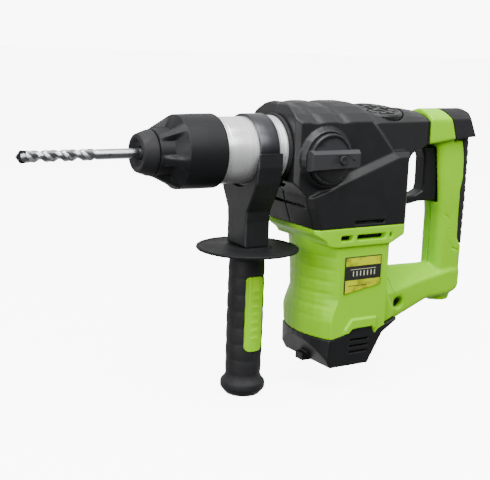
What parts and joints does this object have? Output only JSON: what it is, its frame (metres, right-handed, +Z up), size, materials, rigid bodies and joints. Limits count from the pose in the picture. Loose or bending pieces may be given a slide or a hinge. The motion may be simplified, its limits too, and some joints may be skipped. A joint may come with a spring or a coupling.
{
  "type": "rotary hammer",
  "caption": "L-shaped rotary hammer: upright motor, crank-driven hammer mechanism, pull-back chuck with masonry bit, D-shaped rear handle and clamped side handle with round guard.",
  "frame": {"origin": "on the motor axis, centre of the flat underside of the motor end cap", "axes": "+X along the bit, forwards; +Y to the operator's left; +Z up along the motor axis"},
  "size_m": [0.4603, 0.0993, 0.2626],
  "materials": {
    "green_plastic": "satin moulded",
    "black_plastic": "fine-textured moulded",
    "soft_rubber": "matte soft grip",
    "bright_aluminium": "turned bright",
    "tool_steel": "ground",
    "dark_steel": "blackened",
    "cast_aluminium": "as cast",
    "copper": "bright",
    "motor_core": "laminated",
    "carbon": "matte",
    "label": "printed film, blank"
  },
  "bodies": {
    "housing": {"spindle_rear_bearing": "tool_steel", "spindle_front_bearing": "tool_steel", "oil_seal": "soft_rubber", "front_barrel": "bright_aluminium", "nose_seal_ring": "soft_rubber", "crank_bearing": "tool_steel", "intermediate_bearing": "tool_steel", "gear_case": "cast_aluminium", "bearing_plate": "cast_aluminium", "motor_lower_bearing": "tool_steel", "motor_upper_bearing": "tool_steel", "stator": "motor_core", "brush_left": "carbon", "brush_right": "carbon", "brush_holder_left": "copper", "brush_holder_right": "copper", "motor_housing": "green_plastic", "housing_screw": "dark_steel", "label_plate": "label", "motor_end_cap": "black_plastic", "gear_cover_left": "black_plastic", "gear_cover_right": "black_plastic", "rear_grip_pad": "soft_rubber", "rear_handle_left": "green_plastic", "rear_handle_right": "green_plastic", "switch_module": "black_plastic", "cord_gland": "soft_rubber"},
    "armature": {"armature_shaft": "tool_steel", "armature_core": "motor_core", "commutator": "copper", "cooling_fan": "black_plastic"},
    "crank": {"crank_shaft": "tool_steel", "crank_gear": "dark_steel"},
    "intermediate": {"intermediate_shaft": "tool_steel", "intermediate_gear": "dark_steel"},
    "spindle": {"tool_spindle": "tool_steel", "spindle_gear": "dark_steel", "dust_cap": "soft_rubber", "sleeve_spring": "tool_steel"},
    "sleeve": {"locking_sleeve": "black_plastic"},
    "ball": {"locking_ball": "bright_aluminium"},
    "bit": {"drill_bit": "tool_steel", "carbide_tip": "dark_steel"},
    "piston": {"piston": "tool_steel", "wrist_pin": "tool_steel"},
    "rod": {"connecting_rod": "cast_aluminium", "crank_pin": "tool_steel"},
    "striker": {"striker": "tool_steel"},
    "impact_bolt": {"impact_bolt": "tool_steel"},
    "mode_knob": {"mode_knob": "black_plastic"},
    "lock_button": {"knob_lock_button": "soft_rubber"},
    "trigger": {"trigger": "black_plastic"},
    "side_handle": {"clamp_strap": "dark_steel", "handle_bracket": "black_plastic", "hand_guard": "black_plastic", "clamp_bolt": "tool_steel"},
    "grip": {"side_grip": "soft_rubber", "grip_inlay": "green_plastic"},
    "grease_cap": {"grease_cap": "black_plastic", "grease_cap_seal": "soft_rubber"}
  },
  "joints": [
    {"name": "armature_spin", "type": "hinge", "parent": "housing", "child": "armature", "pos_m": [0, 0, 0.08], "axis": [0, 0, 1], "continuous": true},
    {"name": "crank_spin", "type": "hinge", "parent": "housing", "child": "crank", "pos_m": [-0.0205, 0, 0.143], "axis": [0, 0, 1], "continuous": true},
    {"name": "intermediate_spin", "type": "hinge", "parent": "housing", "child": "intermediate", "pos_m": [0.0205, 0, 0.143], "axis": [0, 0, 1], "continuous": true},
    {"name": "spindle_spin", "type": "hinge", "parent": "housing", "child": "spindle", "pos_m": [0.1, 0, 0.198], "axis": [1, 0, 0], "continuous": true},
    {"name": "sleeve_pull", "type": "slide", "parent": "spindle", "child": "sleeve", "axis": [-1, 0, 0], "range_m": [0, 0.008], "stiffness_N_per_m": 1200, "springref_m": -0.006, "deforming": ["sleeve_spring"]},
    {"name": "ball_lift", "type": "slide", "parent": "spindle", "child": "ball", "axis": [0, 0, 1], "range_m": [0, 0.0032]},
    {"name": "bit_float", "type": "slide", "parent": "spindle", "child": "bit", "axis": [-1, 0, 0], "range_m": [0, 0.01]},
    {"name": "piston_stroke", "type": "slide", "parent": "housing", "child": "piston", "axis": [1, 0, 0], "range_m": [0, 0.022]},
    {"name": "rod_swing", "type": "hinge", "parent": "piston", "child": "rod", "pos_m": [0.0105, 0, 0.198], "axis": [0, 0, 1], "range_deg": [-15, 15]},
    {"name": "striker_float", "type": "slide", "parent": "spindle", "child": "striker", "axis": [-1, 0, 0], "range_m": [0, 0.01]},
    {"name": "impact_bolt_float", "type": "slide", "parent": "spindle", "child": "impact_bolt", "axis": [-1, 0, 0], "range_m": [0, 0.006]},
    {"name": "mode_knob_turn", "type": "hinge", "parent": "housing", "child": "mode_knob", "pos_m": [0.039, 0.04, 0.193], "axis": [0, 1, 0], "range_deg": [-90, 90]},
    {"name": "lock_button_press", "type": "slide", "parent": "mode_knob", "child": "lock_button", "axis": [0, -1, 0], "range_m": [0, 0.0018], "stiffness_N_per_m": 600, "springref_m": -0.002},
    {"name": "trigger_pull", "type": "hinge", "parent": "housing", "child": "trigger", "pos_m": [-0.112, 0, 0.1955], "axis": [0, 1, 0], "range_deg": [0, 6], "stiffness_Nm_per_rad": 1.2, "springref_deg": -5.73},
    {"name": "side_handle_swing", "type": "hinge", "parent": "housing", "child": "side_handle", "pos_m": [0.092, 0, 0.198], "axis": [1, 0, 0], "continuous": true},
    {"name": "grip_twist", "type": "hinge", "parent": "side_handle", "child": "grip", "pos_m": [0.092, 0, 0.05], "axis": [0, 0, 1], "range_deg": [0, 360]},
    {"name": "grease_cap_turn", "type": "hinge", "parent": "housing", "child": "grease_cap", "pos_m": [-0.04, 0.003, 0.2268], "axis": [0, 0.1564, 0.9877], "range_deg": [0, 90]}
  ],
  "couplings": [
    {"joint": "crank_spin", "follows": "armature_spin", "ratio": -0.24242},
    {"joint": "intermediate_spin", "follows": "armature_spin", "ratio": -0.24242},
    {"joint": "spindle_spin", "follows": "armature_spin", "ratio": -0.049587},
    {"joint": "ball_lift", "follows": "sleeve_pull", "ratio": 0.4}
  ]
}
